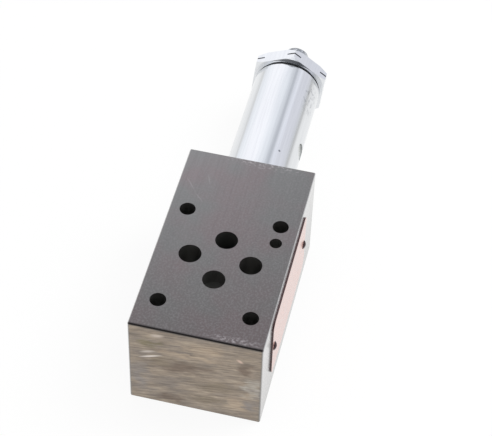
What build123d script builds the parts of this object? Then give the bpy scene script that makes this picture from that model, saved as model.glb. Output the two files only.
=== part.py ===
from build123d import *
import math
import os

# A pressure reducing sandwich valve with the NG6 port pattern. It works in line A.
# All sizes are in millimetres. The origin is the middle of the port pattern on the mounting
# face, +X points along the spring housing and +Z points up to the valve face.

# Block
block_length = 80.0
block_width = 45.0
block_height = 40.0
front_length = 33.3
edge_break = 0.4

# Port pattern
port_dia = 7.7
port_a_x = -8.8
port_b_x = 8.7
port_p_y = -10.4
port_t_y = 10.4
bolt_dia = 5.5
front_bolt_x = -21.5
front_bolt_y = 15.5
back_bolt_x = 19.0
back_bolt_y = 16.25
locating_x = 11.5
locating_y = -16.25
locating_dia = 4.2
locating_depth = 5.0

# Flat seal rings of the mounting face, pressed level with it as in service
port_seal_bore = 9.8
port_seal_width = 1.5
port_recess_depth = 1.4
face_relief = 0.02

# Spool and its bore
spool_dia = 10.0
spool_clearance = 0.03
spool_travel = 4.0
spool_neck_dia = 5.6
first_land_length = 4.7
nose_length = 1.5
nose_dia = 6.4
nose_slot_width = 1.2
nose_slot_depth = 0.8
closed_overlap = 0.7
open_margin = 0.85
shut_margin = 0.35
drain_margin = 1.55
spool_stand_out = 1.0
spigot_dia = 6.0
spigot_length = 2.0
balance_groove_count = 3
balance_groove_width = 0.5
balance_groove_depth = 0.4
balance_groove_pitch = 2.0
sensing_dia = 2.5
sensing_cross_dia = 2.0

# Drillings in the block
mouth_depth = 6.0
slant_dia = 5.0
slant_reach = 8.3
slant_start_lift = 1.25
drain_dia = 3.0
drain_wall = 0.3

# Orifice screw in the spool's nose
orifice_screw_dia = 4.0
orifice_screw_length = 4.0
orifice_dia = 0.8
orifice_socket = 2.0
orifice_socket_depth = 1.8

# Spring housing
housing_dia = 25.2
housing_length = 58.3
housing_bore = 17.0
housing_thread = 22.0
housing_thread_length = 15.7
housing_thread_depth = 20.7
housing_chamfer = 0.6
rim_chamfer = 0.3
thread_chamfer = 0.8
undercut_length = 2.8
undercut_depth = 1.3
housing_seal_cord = 2.0
housing_seal_depth = 2.2
spanner_hole_dia = 6.2
spanner_hole_depth = 0.6
spanner_hole_from_shoulder = 25.1
spanner_hole_angle = 172.0

# Hexagonal end cap
cap_across_flats = 26.8
cap_flange = 5.15
cap_corner_angle = 36.0
cap_front_dia = 28.2
cap_front_chamfer = 0.7
cap_back_dia = 28.0
cap_back_chamfer = 1.1
cap_groove_dia = 28.8
cap_groove_width = 0.5
cap_groove_from_front = 2.2
cap_thread = 20.0
cap_collar_dia = 26.4
cap_collar_length = 0.55
cap_seal_thickness = 0.45
cap_seal_recess = 0.8

# Adjusting screw with its washer and lock nut
screw_dia = 10.0
screw_stub = 12.0
screw_out_travel = 2.0
screw_chamfer = 0.8
screw_tip_dia = 7.5
screw_tip_length = 2.0
screw_socket = 5.0
screw_socket_depth = 5.0
screw_clearance = 0.05
washer_dia = 17.0
washer_thickness = 1.0
nut_across_flats = 16.0
nut_height = 3.2
nut_chamfer = 0.6
nut_corner_angle = 5.0

# Spring and the two pieces that hold it
spring_length = 51.0
spring_mean_dia = 12.4
spring_wire_dia = 2.4
spring_active_turns = 5.5
closed_turn_gap = 0.15
seat_thickness = 3.0
seat_boss_length = 5.0
spring_guide_gap = 0.4
spring_shoulder_gap = 0.4
piston_length = 12.0
piston_clearance = 0.05
piston_groove_width = 2.6
piston_groove_depth = 1.6
piston_groove_from_shoulder = 5.0
boss_chamfer = 0.8

# Gauge port with its plug, in the left side face
gauge_x = -10.8
gauge_thread = 9.73
gauge_thread_depth = 11.0
gauge_drill_dia = 4.0
gauge_spotface_dia = 14.4
gauge_spotface_depth = 2.5
gauge_plug_head_dia = 14.0
gauge_plug_thread_length = 8.0
gauge_socket = 5.0
gauge_socket_depth = 5.0
gauge_seal_dia = 12.8
gauge_seal_thickness = 1.5
gauge_sink = 0.1

# Name plate and its drive pins, on the right side face
plate_length = 50.6
plate_height = 26.6
plate_thickness = 0.6
plate_corner_radius = 3.0
plate_middle_x = 5.1
plate_middle_z = 22.9
pin_from_end = 2.65
pin_shank_dia = 2.5
pin_shank_length = 3.5
pin_head_dia = 3.2
pin_head_height = 0.8

# Clearances shared by several pieces
thread_gap = 0.05
seal_gap = 0.05
pin_gap = 0.05
overcut = 1.0

# How much of its width a pressed cord's corner takes
cord_bevel = 0.3

# Places worked out from the sizes above
axis_z = block_height / 2
side_y = block_width / 2
back_x = block_length - front_length
front_x = -front_length
chamber_x = back_x - housing_thread_depth
bore_radius = spool_dia / 2 + spool_clearance

primary_x = port_a_x - slant_reach
mouth_z = block_height - mouth_depth
slant_start_z = mouth_z + slant_start_lift
slant_drop = slant_start_z - axis_z - bore_radius
slant_half_width = slant_dia / 2 * math.hypot(slant_reach, slant_drop) / slant_drop

first_land_back = primary_x + slant_half_width + closed_overlap - spool_travel
first_land_front = first_land_back - first_land_length
bore_end_x = first_land_front - nose_length
middle_land_front = port_a_x + port_dia / 2 + open_margin
middle_land_back = port_b_x - port_dia / 2 - spool_travel - shut_margin
last_land_front = port_b_x + port_dia / 2 + drain_margin
last_land_back = chamber_x + spool_stand_out

housing_end_x = back_x + housing_length
spring_front_x = last_land_back + seat_thickness
spring_back_x = spring_front_x + spring_length
piston_back_x = spring_back_x + piston_length
cap_front_x = piston_back_x + screw_out_travel
collar_front_x = housing_end_x + cap_seal_thickness
flange_front_x = collar_front_x + cap_collar_length
flange_back_x = flange_front_x + cap_flange
washer_back_x = flange_back_x + washer_thickness
nut_back_x = washer_back_x + nut_height
screw_end_x = flange_back_x + screw_stub

spring_guide_dia = spring_mean_dia - spring_wire_dia - 2 * spring_guide_gap
seat_dia = spring_mean_dia + spring_wire_dia + 2 * spring_shoulder_gap


def turned(*outline):
    """Turn a closed outline of (x, radius) points about the valve's long axis."""
    profile = make_face(Polyline(*outline, close=True))
    return Pos(0, 0, axis_z) * revolve(profile, Axis.X)


def hexagon(across_flats, corner_angle, x_start, x_end):
    """A hexagonal bar along X, with one corner at the given angle from +Y towards +Z."""
    start = Plane.YZ * Pos(0, axis_z, x_start)
    outline = RegularPolygon(across_flats / 2, 6, major_radius=False, rotation=corner_angle)
    return extrude(start * outline, x_end - x_start)


def along_x(diameter, x_start, x_end, y=0.0, z=axis_z):
    """A round bar along X, used for drillings."""
    middle = Pos((x_start + x_end) / 2, y, z)
    return middle * Rot(0, 90, 0) * Cylinder(diameter / 2, x_end - x_start)


def along_y(diameter, y_start, y_end, x, z):
    """A round bar along Y."""
    middle = Pos(x, (y_start + y_end) / 2, z)
    return middle * Rot(90, 0, 0) * Cylinder(diameter / 2, y_end - y_start)


def along_z(diameter, z_start, z_end, x, y):
    """A round bar along Z."""
    middle = Pos(x, y, (z_start + z_end) / 2)
    return middle * Cylinder(diameter / 2, z_end - z_start)


def flat_ring(inner_dia, outer_dia, thickness):
    """A seal ring of square section about Z, from z = 0 upwards."""
    outline = Circle(outer_dia / 2) - Circle(inner_dia / 2)
    return extrude(outline, thickness)


def pressed_ring(inner_dia, outer_dia, thickness):
    """A seal ring of round cord about Z, pressed flat on all four sides by its groove."""
    bevel = cord_bevel * min((outer_dia - inner_dia) / 2, thickness)
    ring = flat_ring(inner_dia, outer_dia, thickness)
    return chamfer(ring.edges().filter_by(GeomType.CIRCLE), bevel)


def recess_dia():
    """Diameter of the seal recesses round the ports."""
    return port_seal_bore + 2 * port_seal_width + 2 * seal_gap


def undercut_dia():
    """Diameter of the turned groove behind the housing's shoulder."""
    return housing_thread - 2 * undercut_depth


def housing_seal_dia():
    """Outer diameter of the seal ring under the housing's shoulder."""
    return undercut_dia() + 2 * seal_gap + 2 * housing_seal_cord


def make_valve_body():
    """The ground steel block with all its drillings."""
    body = Pos(front_x + block_length / 2, 0, axis_z) * Box(block_length, block_width, block_height)
    body = chamfer(body.edges(), edge_break)
    top = block_height + overcut
    ports = ((0, port_p_y), (0, port_t_y), (port_a_x, 0), (port_b_x, 0))
    bolts = [(front_bolt_x, side * front_bolt_y) for side in (-1, 1)]
    bolts += [(back_bolt_x, side * back_bolt_y) for side in (-1, 1)]
    for x, y in bolts:
        body -= along_z(bolt_dia, -overcut, top, x, y)
    for y in (port_p_y, port_t_y):
        body -= along_z(port_dia, -overcut, top, 0, y)
    body -= along_z(port_dia, -overcut, top, port_b_x, 0)
    body -= along_z(port_dia, -overcut, axis_z, port_a_x, 0)
    for x, y in ports:
        body -= along_z(recess_dia(), -overcut, port_recess_depth, x, y)
    for z_start, z_end in ((-overcut, locating_depth), (block_height - locating_depth, top)):
        body -= along_z(locating_dia, z_start, z_end, locating_x, locating_y)
    body -= slanted_drilling()
    body -= along_x(2 * bore_radius, bore_end_x, chamber_x + overcut)
    body -= along_x(housing_thread, chamber_x, back_x + overcut)
    mouth_dia = housing_seal_dia() + 2 * seal_gap
    body -= along_x(mouth_dia, back_x - housing_seal_depth, back_x + overcut)
    drain_y = housing_thread / 2 - drain_wall - drain_dia / 2
    body -= along_x(drain_dia, 0, chamber_x + overcut, y=drain_y)
    body -= gauge_drillings()
    for x in pin_places():
        deep_end = pin_shank_length + overcut / 2 - side_y
        body -= along_y(pin_shank_dia + 2 * pin_gap, -side_y - overcut, deep_end, x, plate_middle_z)
    return body


def slanted_drilling():
    """The upper half of line A: a short upright mouth, then a slanted drilling to the bore."""
    mouth = along_z(port_dia, mouth_z, block_height + overcut, port_a_x, 0)
    start = Vector(port_a_x, 0, slant_start_z)
    through = Vector(primary_x, 0, axis_z + bore_radius)
    way = through - start
    path = Plane(origin=start, z_dir=way)
    return mouth + extrude(path * Circle(slant_dia / 2), way.length + bore_radius / 2)


def gauge_drillings():
    """The gauge port: spotface, seal recess, threaded hole and drilling to the bore."""
    face = side_y + overcut
    spotface_y = side_y - gauge_spotface_depth
    seal_y = spotface_y - gauge_seal_thickness
    cut = along_y(gauge_spotface_dia, spotface_y, face, gauge_x, axis_z)
    cut += along_y(gauge_seal_dia + 2 * seal_gap, seal_y, face, gauge_x, axis_z)
    cut += along_y(gauge_thread, side_y - gauge_thread_depth, face, gauge_x, axis_z)
    return cut + along_y(gauge_drill_dia, 0, face, gauge_x, axis_z)


def make_port_seal(x, y):
    """One seal ring, seated in its recess and level with the mounting face."""
    outer_dia = port_seal_bore + 2 * port_seal_width
    return Pos(x, y, face_relief) * flat_ring(port_seal_bore, outer_dia, port_recess_depth - face_relief)


def make_spring_housing():
    """The turned housing: threaded spigot, undercut, tube, and thread for the cap."""
    spigot_x = back_x - housing_thread_length
    spigot_radius = housing_thread / 2 - thread_gap
    undercut_radius = undercut_dia() / 2
    undercut_x = back_x - undercut_length
    outer_radius = housing_dia / 2
    thread_radius = cap_thread / 2
    relief_x = cap_front_x - overcut
    housing = turned(
        (spigot_x, housing_bore / 2),
        (spigot_x, spigot_radius - thread_chamfer),
        (spigot_x + thread_chamfer, spigot_radius),
        (undercut_x - thread_chamfer, spigot_radius),
        (undercut_x, undercut_radius),
        (back_x, undercut_radius),
        (back_x, outer_radius - housing_chamfer),
        (back_x + housing_chamfer, outer_radius),
        (housing_end_x - rim_chamfer, outer_radius),
        (housing_end_x, outer_radius - rim_chamfer),
        (housing_end_x, thread_radius),
        (relief_x, thread_radius),
        (relief_x, housing_bore / 2),
    )
    hole_plane = Plane(
        origin=(back_x + spanner_hole_from_shoulder, 0, axis_z),
        z_dir=(0, math.cos(math.radians(spanner_hole_angle)), math.sin(math.radians(spanner_hole_angle))),
    )
    floor = outer_radius - spanner_hole_depth
    hole = hole_plane * Pos(0, 0, floor) * extrude(Circle(spanner_hole_dia / 2), spanner_hole_depth + overcut)
    return housing - hole


def make_housing_seal():
    """The seal ring between the block's mouth and the housing's shoulder."""
    inner = undercut_dia() + 2 * seal_gap
    ring = pressed_ring(inner, housing_seal_dia(), housing_seal_depth)
    return Pos(back_x - housing_seal_depth, 0, axis_z) * Rot(0, 90, 0) * ring


def make_end_cap():
    """The hexagonal cap: both faces chamfered, a fine groove round its corners, a collar in front."""
    corner_radius = cap_across_flats / math.sqrt(3)
    groove_x = flange_front_x + cap_groove_from_front
    flange = hexagon(cap_across_flats, cap_corner_angle, flange_front_x, flange_back_x)
    flange &= turned(
        (flange_front_x, 0),
        (flange_front_x, cap_front_dia / 2),
        (flange_front_x + cap_front_chamfer, corner_radius),
        (groove_x, corner_radius),
        (groove_x, cap_groove_dia / 2),
        (groove_x + cap_groove_width, cap_groove_dia / 2),
        (groove_x + cap_groove_width, corner_radius),
        (flange_back_x - cap_back_chamfer, corner_radius),
        (flange_back_x, cap_back_dia / 2),
        (flange_back_x, 0),
    )
    spigot_radius = cap_thread / 2 - thread_gap
    spigot = turned(
        (cap_front_x, 0),
        (cap_front_x, spigot_radius - thread_chamfer),
        (cap_front_x + thread_chamfer, spigot_radius),
        (housing_end_x - thread_chamfer, spigot_radius),
        (housing_end_x, spigot_radius - thread_chamfer),
        (collar_front_x, spigot_radius - thread_chamfer),
        (collar_front_x, cap_collar_dia / 2),
        (flange_front_x, cap_collar_dia / 2),
        (flange_front_x, 0),
    )
    screw_hole = along_x(screw_dia + 2 * screw_clearance, cap_front_x - overcut, flange_back_x + overcut)
    return flange + spigot - screw_hole


def make_cap_seal():
    """The flat ring between the housing's end and the cap's collar."""
    inner = cap_thread - 2 * thread_chamfer + 2 * seal_gap
    outer = housing_dia - 2 * cap_seal_recess
    ring = flat_ring(inner, outer, cap_seal_thickness)
    return Pos(housing_end_x, 0, axis_z) * Rot(0, 90, 0) * ring


def make_adjusting_screw():
    """The set screw, with a plain tip inside and a hexagon socket outside."""
    radius = screw_dia / 2
    tip_radius = screw_tip_dia / 2
    screw = turned(
        (piston_back_x - screw_tip_length, 0),
        (piston_back_x - screw_tip_length, tip_radius),
        (piston_back_x, tip_radius),
        (piston_back_x, radius - screw_chamfer / 2),
        (piston_back_x + screw_chamfer / 2, radius),
        (screw_end_x - screw_chamfer, radius),
        (screw_end_x, radius - screw_chamfer),
        (screw_end_x, 0),
    )
    return screw - hexagon(screw_socket, 0, screw_end_x - screw_socket_depth, screw_end_x + overcut)


def make_lock_washer():
    """The flat washer between cap and lock nut."""
    hole_radius = screw_dia / 2 + 4 * screw_clearance
    return turned(
        (flange_back_x, hole_radius),
        (flange_back_x, washer_dia / 2),
        (washer_back_x, washer_dia / 2),
        (washer_back_x, hole_radius),
    )


def make_lock_nut():
    """The thin hexagonal nut, chamfered on both faces."""
    corner_radius = nut_across_flats / math.sqrt(3)
    face_radius = nut_across_flats / 2 - nut_chamfer / 3
    hole_radius = screw_dia / 2 + screw_clearance
    nut = hexagon(nut_across_flats, nut_corner_angle, washer_back_x, nut_back_x)
    return nut & turned(
        (washer_back_x, hole_radius),
        (washer_back_x, face_radius),
        (washer_back_x + nut_chamfer, corner_radius),
        (nut_back_x - nut_chamfer, corner_radius),
        (nut_back_x, face_radius),
        (nut_back_x, hole_radius),
    )


def make_spring_cap():
    """The piston that the screw pushes: spring guide, seal groove and seat for the screw."""
    radius = housing_bore / 2 - piston_clearance
    guide_radius = spring_guide_dia / 2
    groove_x = spring_back_x + piston_groove_from_shoulder
    groove_radius = housing_bore / 2 - piston_groove_depth
    seat_radius = screw_tip_dia / 2 + 2 * screw_clearance
    return turned(
        (spring_back_x - seat_boss_length, 0),
        (spring_back_x - seat_boss_length, guide_radius - boss_chamfer),
        (spring_back_x - seat_boss_length + boss_chamfer, guide_radius),
        (spring_back_x, guide_radius),
        (spring_back_x, radius),
        (groove_x, radius),
        (groove_x, groove_radius),
        (groove_x + piston_groove_width, groove_radius),
        (groove_x + piston_groove_width, radius),
        (piston_back_x, radius),
        (piston_back_x, seat_radius),
        (piston_back_x - screw_tip_length, seat_radius),
        (piston_back_x - screw_tip_length, 0),
    )


def make_spring_cap_seal():
    """The seal ring in the piston's groove."""
    inner = housing_bore - 2 * piston_groove_depth
    ring = pressed_ring(inner, housing_bore - 2 * piston_clearance, piston_groove_width)
    return Pos(spring_back_x + piston_groove_from_shoulder, 0, axis_z) * Rot(0, 90, 0) * ring


def coil(height, turns, start_height, start_turns):
    """A stretch of spring wire about Z, from a start height and a start angle in turns."""
    radius = spring_mean_dia / 2
    line = Helix(pitch=height / turns, height=height, radius=radius)
    wire = sweep(Plane(origin=line @ 0, z_dir=line % 0) * Circle(spring_wire_dia / 2), path=line)
    return Pos(0, 0, start_height) * Rot(0, 0, 360 * start_turns) * wire


def make_control_spring():
    """The compression spring: one closed turn at each end, and both ends ground flat."""
    closed_pitch = spring_wire_dia + closed_turn_gap
    active_height = spring_length - 2 * closed_pitch
    first = coil(closed_pitch, 1, 0, 0)
    middle = coil(active_height, spring_active_turns, closed_pitch, 0)
    last = coil(closed_pitch, 1, closed_pitch + active_height, spring_active_turns)
    wire = first + middle + last
    for height, turns in ((closed_pitch, 0), (closed_pitch + active_height, spring_active_turns)):
        joint = Rot(0, 0, 360 * turns) * Pos(spring_mean_dia / 2, 0, height)
        wire += joint * Sphere(spring_wire_dia / 2)
    slab = Pos(0, 0, spring_length / 2) * Box(4 * seat_dia, 4 * seat_dia, spring_length)
    return Pos(spring_front_x, 0, axis_z) * Rot(0, 90, 0) * (wire & slab)


def make_spring_seat():
    """The plate on the spool's end, with a guide inside the spring."""
    guide_radius = spring_guide_dia / 2
    hole_radius = spigot_dia / 2 + pin_gap
    boss_end = spring_front_x + seat_boss_length
    return turned(
        (last_land_back, hole_radius),
        (last_land_back, seat_dia / 2),
        (spring_front_x, seat_dia / 2),
        (spring_front_x, guide_radius),
        (boss_end - boss_chamfer, guide_radius),
        (boss_end, guide_radius - boss_chamfer),
        (boss_end, 0),
        (last_land_back + spigot_length + pin_gap, 0),
        (last_land_back + spigot_length + pin_gap, hole_radius),
    )


def make_control_spool():
    """The spool: three lands, two necks, balance grooves, sensing drillings and slotted nose."""
    land = spool_dia / 2
    neck = spool_neck_dia / 2
    spigot_end = last_land_back + spigot_length
    spool = turned(
        (bore_end_x, 0),
        (bore_end_x, nose_dia / 2),
        (first_land_front, nose_dia / 2),
        (first_land_front, land),
        (first_land_back, land),
        (first_land_back, neck),
        (middle_land_front, neck),
        (middle_land_front, land),
        (middle_land_back, land),
        (middle_land_back, neck),
        (last_land_front, neck),
        (last_land_front, land),
        (last_land_back, land),
        (last_land_back, spigot_dia / 2),
        (spigot_end, spigot_dia / 2),
        (spigot_end, 0),
    )
    groove_radius = land - balance_groove_depth
    for number in range(balance_groove_count):
        groove_x = last_land_front + balance_groove_pitch * (number + 1)
        spool -= turned(
            (groove_x, groove_radius),
            (groove_x, land + overcut),
            (groove_x + balance_groove_width, land + overcut),
            (groove_x + balance_groove_width, groove_radius),
        )
    cross_x = first_land_back + sensing_cross_dia
    spool -= along_x(orifice_screw_dia, bore_end_x - overcut, orifice_back_x())
    spool -= along_x(sensing_dia, bore_end_x - overcut, cross_x)
    spool -= along_z(sensing_cross_dia, axis_z - land, axis_z + land, cross_x, 0)
    slot = Pos(bore_end_x, 0, axis_z) * Box(2 * nose_slot_depth, 2 * nose_dia, nose_slot_width)
    return spool - slot


def orifice_back_x():
    """Where the orifice screw's hole ends in the spool."""
    return bore_end_x + nose_slot_depth + orifice_screw_length


def make_damping_orifice():
    """The small set screw with a fine hole through it."""
    radius = orifice_screw_dia / 2 - thread_gap
    start = bore_end_x + nose_slot_depth
    end = orifice_back_x()
    screw = turned((start, 0), (start, radius), (end, radius), (end, 0))
    screw -= along_x(orifice_dia, start - overcut, end + overcut)
    return screw - hexagon(orifice_socket, 0, start - overcut, start + orifice_socket_depth)


def make_gauge_plug():
    """The screw plug of the gauge port, sunk level with the side face."""
    head_y = side_y - gauge_spotface_depth
    outer_y = side_y - gauge_sink
    thread_dia = gauge_thread - 2 * thread_gap
    plug = along_y(gauge_plug_head_dia, head_y, outer_y, gauge_x, axis_z)
    plug += along_y(thread_dia, head_y - gauge_plug_thread_length, head_y, gauge_x, axis_z)
    socket_plane = Plane(origin=(gauge_x, outer_y + overcut, axis_z), z_dir=(0, -1, 0))
    outline = RegularPolygon(gauge_socket / 2, 6, major_radius=False)
    return plug - extrude(socket_plane * outline, gauge_socket_depth + overcut)


def make_gauge_plug_seal():
    """The seal ring under the plug's head."""
    ring = pressed_ring(gauge_thread + 2 * seal_gap, gauge_seal_dia, gauge_seal_thickness)
    start = side_y - gauge_spotface_depth - gauge_seal_thickness
    return Pos(gauge_x, start, axis_z) * Rot(-90, 0, 0) * ring


def pin_places():
    """Where the two drive pins stand along X."""
    reach = plate_length / 2 - pin_from_end
    return (plate_middle_x - reach, plate_middle_x + reach)


def make_name_plate():
    """The thin bare plate with rounded corners and two pin holes."""
    outline = RectangleRounded(plate_length, plate_height, plate_corner_radius)
    face = Plane(origin=(plate_middle_x, -side_y, plate_middle_z), x_dir=(1, 0, 0), z_dir=(0, -1, 0))
    plate = extrude(face * outline, plate_thickness)
    for x in pin_places():
        plate -= along_y(
            pin_shank_dia + 2 * pin_gap, -side_y - 2 * plate_thickness, -side_y + overcut, x, plate_middle_z
        )
    return plate


def make_plate_pin(x):
    """One drive pin: a plain shank and a low domed head."""
    head_y = -side_y - plate_thickness
    dome_radius = (pin_head_dia ** 2 / 4 + pin_head_height ** 2) / (2 * pin_head_height)
    ball = Pos(x, head_y - pin_head_height + dome_radius, plate_middle_z) * Sphere(dome_radius)
    head = ball & along_y(2 * pin_head_dia, head_y - 2 * pin_head_height, head_y, x, plate_middle_z)
    return head + along_y(pin_shank_dia, head_y, pin_shank_length - side_y, x, plate_middle_z)


pieces = {
    "valve_body": make_valve_body(),
    "spring_housing": make_spring_housing(),
    "housing_seal": make_housing_seal(),
    "end_cap": make_end_cap(),
    "cap_seal": make_cap_seal(),
    "adjusting_screw": make_adjusting_screw(),
    "lock_washer": make_lock_washer(),
    "lock_nut": make_lock_nut(),
    "spring_cap": make_spring_cap(),
    "spring_cap_seal": make_spring_cap_seal(),
    "control_spring": make_control_spring(),
    "spring_seat": make_spring_seat(),
    "control_spool": make_control_spool(),
    "damping_orifice": make_damping_orifice(),
    "gauge_plug": make_gauge_plug(),
    "gauge_plug_seal": make_gauge_plug_seal(),
    "port_seal_p": make_port_seal(0, port_p_y),
    "port_seal_t": make_port_seal(0, port_t_y),
    "port_seal_a": make_port_seal(port_a_x, 0),
    "port_seal_b": make_port_seal(port_b_x, 0),
    "name_plate": make_name_plate(),
    "plate_pins": Compound([make_plate_pin(x) for x in pin_places()]),
}

os.makedirs("parts", exist_ok=True)
for name, piece in pieces.items():
    export_step(piece, f"parts/{name}.step")
    print(name, "volume", round(piece.volume, 1), "faces", len(piece.faces()))
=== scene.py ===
# %% [markdown]
# # A hydraulic sandwich valve
#
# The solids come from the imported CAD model. This script gives them their real surfaces: ground
# and phosphated iron, zinc plated steel, rubber, and a lacquered plate. It also builds the few
# shapes that a plain solid leaves out, such as the screw's thread, and sets up camera and light.

# %% Load the model
import math

import bmesh
import bpy
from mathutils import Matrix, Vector


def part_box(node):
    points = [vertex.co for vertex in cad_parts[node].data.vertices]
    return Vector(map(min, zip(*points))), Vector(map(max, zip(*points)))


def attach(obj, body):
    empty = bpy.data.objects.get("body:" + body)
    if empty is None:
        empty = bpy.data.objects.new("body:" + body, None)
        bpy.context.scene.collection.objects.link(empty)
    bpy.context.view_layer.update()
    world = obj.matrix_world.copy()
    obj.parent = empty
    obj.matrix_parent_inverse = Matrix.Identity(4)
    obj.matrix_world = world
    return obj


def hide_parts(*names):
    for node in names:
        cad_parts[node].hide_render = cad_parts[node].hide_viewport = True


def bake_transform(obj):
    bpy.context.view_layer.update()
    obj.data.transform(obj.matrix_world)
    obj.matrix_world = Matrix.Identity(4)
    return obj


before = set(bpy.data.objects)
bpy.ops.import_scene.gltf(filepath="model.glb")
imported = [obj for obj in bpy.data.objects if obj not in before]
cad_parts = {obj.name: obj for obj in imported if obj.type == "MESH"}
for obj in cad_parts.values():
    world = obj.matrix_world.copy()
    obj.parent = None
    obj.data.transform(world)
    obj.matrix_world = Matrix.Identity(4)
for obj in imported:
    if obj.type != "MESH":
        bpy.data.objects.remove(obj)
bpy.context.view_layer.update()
millimetre = 0.001

# %% [markdown]
# ## The camera
#
# The photo was taken from above the block's front end. Its camera was worked out from the
# standard hole pattern in the top face, whose real sizes are known. The angles could come from
# a Track To constraint, but plain angles also keep the small roll that the photo has.

# %% Camera
camera_place = Vector((-0.34924, -0.08209, 0.47116))
camera_angles = (41.176, -1.398, -76.454)
focal_length = 123.67
film_width = 36

camera_data = bpy.data.cameras.new("camera")
camera_data.lens = focal_length
camera_data.sensor_width = film_width
camera_data.clip_start = 0.01
camera = bpy.data.objects.new("camera", camera_data)
camera.location = camera_place
camera.rotation_euler = [math.radians(angle) for angle in camera_angles]
bpy.context.scene.collection.objects.link(camera)
bpy.context.scene.camera = camera
print("camera distance to the valve:", round((camera_place - Vector((0, 0, 0.02))).length, 3), "m")

# %% [markdown]
# ## Tools for materials
#
# Every finish here is made of shader nodes. A pattern that is worked out from a place in
# millimetres stays sharp and has its true size from any side, which a picture wouldn't. One
# function turns a hex colour into the linear numbers that Blender mixes light with, and one
# adds a node of any kind with its settings and links. A node can be handed over as the input
# of the next, so a finish reads from its first layer to its last.

# %% Colours and nodes
def linear(hex_colour):
    """An sRGB colour such as #808080 as linear red, green, blue and full alpha."""
    channels = [int(hex_colour[start:start + 2], 16) / 255 for start in (1, 3, 5)]
    values = [c / 12.92 if c <= 0.04045 else ((c + 0.055) / 1.055) ** 2.4 for c in channels]
    return (*values, 1.0)


def first_used(sockets, name=None):
    """The first socket that a node uses in its present settings, or the first of that name."""
    return next(socket for socket in sockets if socket.enabled and name in (None, socket.name))


def connect(owner, node, inputs):
    """Give a node its inputs: plain values, hex colours, or other nodes and sockets to link."""
    for key, value in inputs.items():
        socket = node.inputs[key] if isinstance(key, int) else first_used(node.inputs, key)
        if isinstance(value, bpy.types.Node):
            value = first_used(value.outputs)
        if isinstance(value, bpy.types.NodeSocket):
            owner.node_tree.links.new(value, socket)
        else:
            socket.default_value = linear(value) if isinstance(value, str) else value


def add(owner, kind, inputs=None, stops=None, **settings):
    """Add a node of any kind. Stops are the places and colours of a colour ramp."""
    node = owner.node_tree.nodes.new("ShaderNode" + kind)
    for name, value in settings.items():
        setattr(node, name, value)
    connect(owner, node, inputs or {})
    for number, (place, hex_colour) in enumerate(stops or []):
        elements = node.color_ramp.elements
        element = elements[number] if number < len(elements) else elements.new(1.0)
        element.position = place
        element.color = linear(hex_colour)
    return node


print("mid grey in linear light:", round(linear("#808080")[0], 3))

# %% [markdown]
# A material starts with one shader, whose constants are the same all over the surface. Patterns
# are laid out in object coordinates: those are metres in the valve's own frame, so a pattern's
# scale is one over the size of its cell. A UV map would need unwrapping for each piece, and it
# stretches where a face is drilled or rounded.

# %% New materials and pattern sizes
def new_material(name, **constants):
    """A material with one shader. Constants are that shader's plain settings."""
    material = bpy.data.materials.new(name)
    material.use_nodes = True
    shader = material.node_tree.nodes["Principled BSDF"]
    connect(material, shader, {key.replace("_", " "): value for key, value in constants.items()})
    place = add(material, "TexCoord").outputs["Object"]
    return material, shader, place


def per(*sizes):
    """The texture scales along X, Y and Z at which a pattern's cell has these sizes in mm."""
    sizes = sizes * 3 if len(sizes) == 1 else sizes
    return [1 / (size * millimetre) for size in sizes]


print("texture scale for a cell of 1 mm:", round(per(1)[0]))

# %% [markdown]
# ## The block: ground and phosphated iron
#
# The block is cut from cast iron bar. Its long faces are ground and then phosphated, which leaves
# a thin grey skin that is neither a mirror nor matt, with a film of oil on top. The end faces
# are only milled and show streaks. The drillings are dark with oil. These zones could be
# separate materials on separate faces. One material that reads the place of each point is
# simpler, and its zones can have soft edges. Phosphated iron is a metal under a thin salt
# layer, so its metallic value stays a little under 1. The coat is the oil.

# %% Zones of the block
iron, iron_shader, iron_place = new_material(
    "phosphated_ground_iron", Metallic=0.85, Coat_Weight=0.8, Coat_Roughness=0.15
)
block_low, block_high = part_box("valve_body")
block_middle = (block_low + block_high) / 2
block_half = (block_high - block_low) / 2
chamfer_reach = 0.45 * millimetre

from_middle = add(iron, "VectorMath", {0: iron_place, 1: block_middle}, operation="SUBTRACT")
to_side = add(iron, "VectorMath", {0: from_middle}, operation="ABSOLUTE")
past_side = add(iron, "VectorMath", {0: to_side, 1: block_half}, operation="SUBTRACT")
past_x, past_y, past_z = add(iron, "SeparateXYZ", {0: past_side}).outputs
nearer = add(iron, "Math", {0: past_x, 1: past_y}, operation="MAXIMUM")
nearest = add(iron, "Math", {0: nearer, 1: past_z}, operation="MAXIMUM")
drilled = add(iron, "MapRange", {
    "Value": nearest, "From Min": -chamfer_reach, "From Max": -1.5 * chamfer_reach,
})
end_face = add(iron, "MapRange", {
    "Value": past_x, "From Min": -chamfer_reach / 4, "From Max": -chamfer_reach / 10,
})
long_side = add(iron, "MapRange", {
    "Value": past_y, "From Min": -chamfer_reach * 0.6, "From Max": -chamfer_reach * 0.4,
})
along, across, up = add(iron, "SeparateXYZ", {0: iron_place}).outputs
print("block in millimetres:", [round(2 * half / millimetre, 1) for half in block_half])
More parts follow.
